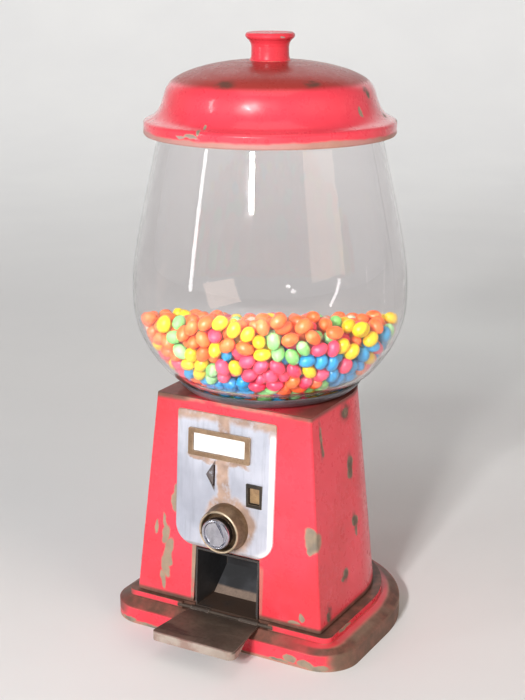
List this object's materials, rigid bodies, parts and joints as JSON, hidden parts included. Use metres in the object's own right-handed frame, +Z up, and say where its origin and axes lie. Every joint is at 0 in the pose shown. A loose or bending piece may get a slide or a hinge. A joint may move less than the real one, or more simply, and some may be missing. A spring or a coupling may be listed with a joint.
{
  "type": "gumball machine",
  "caption": "Countertop candy vendor: D-shaped painted base and tapered body, steel front plate with turn knob, drop-down tray, clear glass globe of candy, domed lift-off lid.",
  "frame": {"origin": "underside of the base, on the globe's vertical axis, at the centre of the stand bolt pattern", "axes": "+Z up along the globe axis, front faces -Y, +X to the right seen from behind the viewer facing the front"},
  "size_m": [0.184, 0.1975, 0.4],
  "materials": {
    "paint": "worn gloss red enamel",
    "steel_plate": "brushed, stained",
    "bronze": "aged bronze colour",
    "card": "blank card",
    "dark_zinc": "dark grey, satin",
    "chrome": "polished, lightly worn",
    "glass": "clear",
    "candy": "glossy sugar shell, mixed colours",
    "rubber": "black",
    "nylon": "off-white bush",
    "mech": "plain steel",
    "brass": "worn",
    "tray_metal": "worn brown-grey paint",
    "chute_metal": "dark paint"
  },
  "bodies": {
    "frame": {"base_casting": "paint", "base_screws": "mech", "body_shell": "paint", "faceplate": "steel_plate", "label_frame": "bronze", "price_card": "card", "knob_bezel": "bronze", "knob_bush": "brass", "button_bezel": "dark_zinc", "coin_guide": "mech", "chute_box": "chute_metal", "chute_ramp": "tray_metal", "drop_tube": "nylon", "coin_chute": "mech", "mech_bracket": "dark_zinc", "bracket_screws": "mech", "pawl_pin": "mech", "wheel_housing": "dark_zinc", "wheel_bush": "brass", "cutoff_plate": "mech", "globe_collar": "dark_zinc", "globe_gasket": "rubber", "globe": "glass", "gum_fill": "candy", "tray_pin": "mech", "drawer_rails": "mech"},
    "knob": {"turn_knob": "chrome", "knob_shaft": "mech", "ratchet_wheel": "mech", "coin_drum": "brass", "drive_pinion": "brass", "shaft_clip": "mech"},
    "wheel": {"dispensing_wheel": "nylon", "wheel_shaft": "mech", "crown_gear": "brass", "agitator": "mech"},
    "pawl": {"pawl": "mech", "pawl_spring": "mech"},
    "button": {"return_button": "brass", "button_spring": "mech"},
    "tray": {"tray_flap": "tray_metal"},
    "drawer": {"cash_drawer": "paint"},
    "lock": {"drawer_lock": "chrome"},
    "lid": {"lid_shell": "paint", "lid_seat": "mech", "lid_gasket": "rubber", "lid_knob": "paint", "lid_screw": "mech"}
  },
  "joints": [
    {"name": "knob_turn", "type": "hinge", "parent": "frame", "child": "knob", "pos_m": [0, -0.05, 0.082], "axis": [0, 1, 0], "continuous": true},
    {"name": "wheel_turn", "type": "hinge", "parent": "frame", "child": "wheel", "pos_m": [0, 0, 0.155], "axis": [0, 0, 1], "continuous": true},
    {"name": "pawl_swing", "type": "hinge", "parent": "frame", "child": "pawl", "pos_m": [0.019, -0.0512, 0.071], "axis": [0, 1, 0], "range_deg": [0, 14], "stiffness_Nm_per_rad": 0.01, "springref_deg": -5.73},
    {"name": "button_press", "type": "slide", "parent": "frame", "child": "button", "axis": [0, 1, 0], "range_m": [0, 0.003], "stiffness_N_per_m": 250, "springref_m": -0.001},
    {"name": "tray_hinge", "type": "hinge", "parent": "frame", "child": "tray", "pos_m": [0, -0.063, 0.0186], "axis": [-1, 0, 0], "range_deg": [0, 92]},
    {"name": "drawer_slide", "type": "slide", "parent": "frame", "child": "drawer", "axis": [0, 1, 0], "range_m": [0, 0.085]},
    {"name": "lock_turn", "type": "hinge", "parent": "drawer", "child": "lock", "pos_m": [0, 0.065, 0.048], "axis": [0, -1, 0], "range_deg": [0, 90]},
    {"name": "lid_lift", "type": "slide", "parent": "frame", "child": "lid", "axis": [0, 0, 1], "range_m": [0, 0.12]}
  ],
  "couplings": [
    {"joint": "knob_turn", "follows": "wheel_turn", "ratio": 3}
  ]
}
